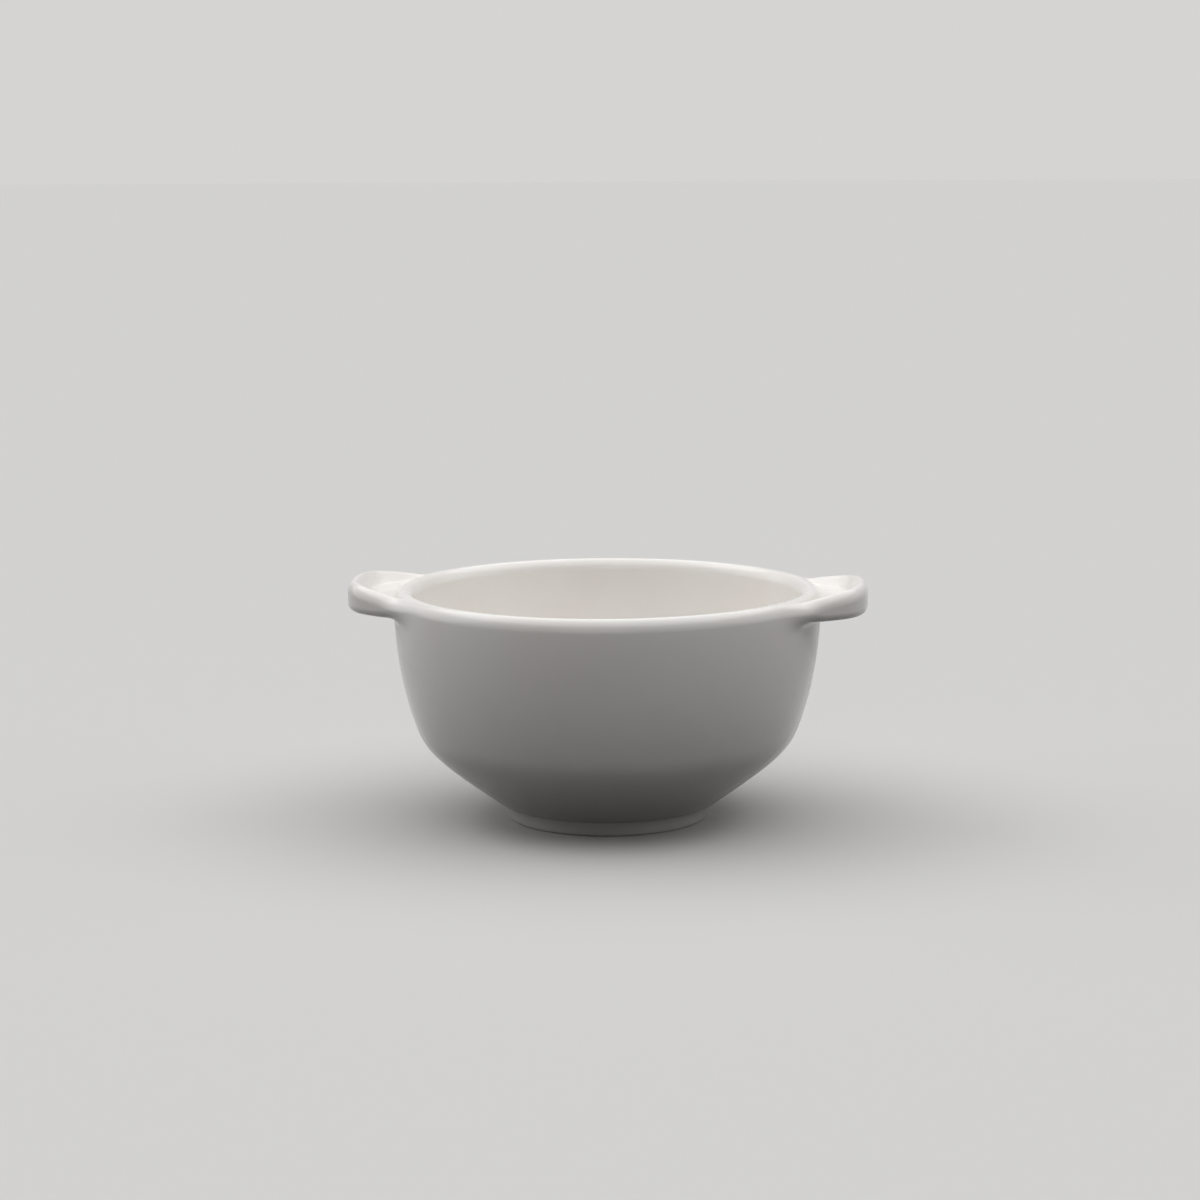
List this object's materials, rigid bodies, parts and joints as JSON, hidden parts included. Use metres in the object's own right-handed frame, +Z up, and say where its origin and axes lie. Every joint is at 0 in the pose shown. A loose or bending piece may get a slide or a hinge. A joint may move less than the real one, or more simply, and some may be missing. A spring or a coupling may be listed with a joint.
{
  "type": "soup cup",
  "caption": "Round glazed china soup cup with a thick rounded lip, a low foot ring and dished lug handles at the rim, for serving soup.",
  "frame": {"origin": "middle of the foot ring's standing face", "axes": "+Z up through the bowl's axis, +X through the middle of the right lug, +Y away from the viewer"},
  "size_m": [0.134, 0.11, 0.0619],
  "materials": {
    "glaze": "glossy warm white glaze",
    "foot_glaze": "warm white glaze, wiped off the standing edge"
  },
  "bodies": {
    "root": {"bowl": "glaze", "foot_ring": "foot_glaze", "left_lug": "glaze", "right_lug": "glaze"}
  },
  "joints": []
}
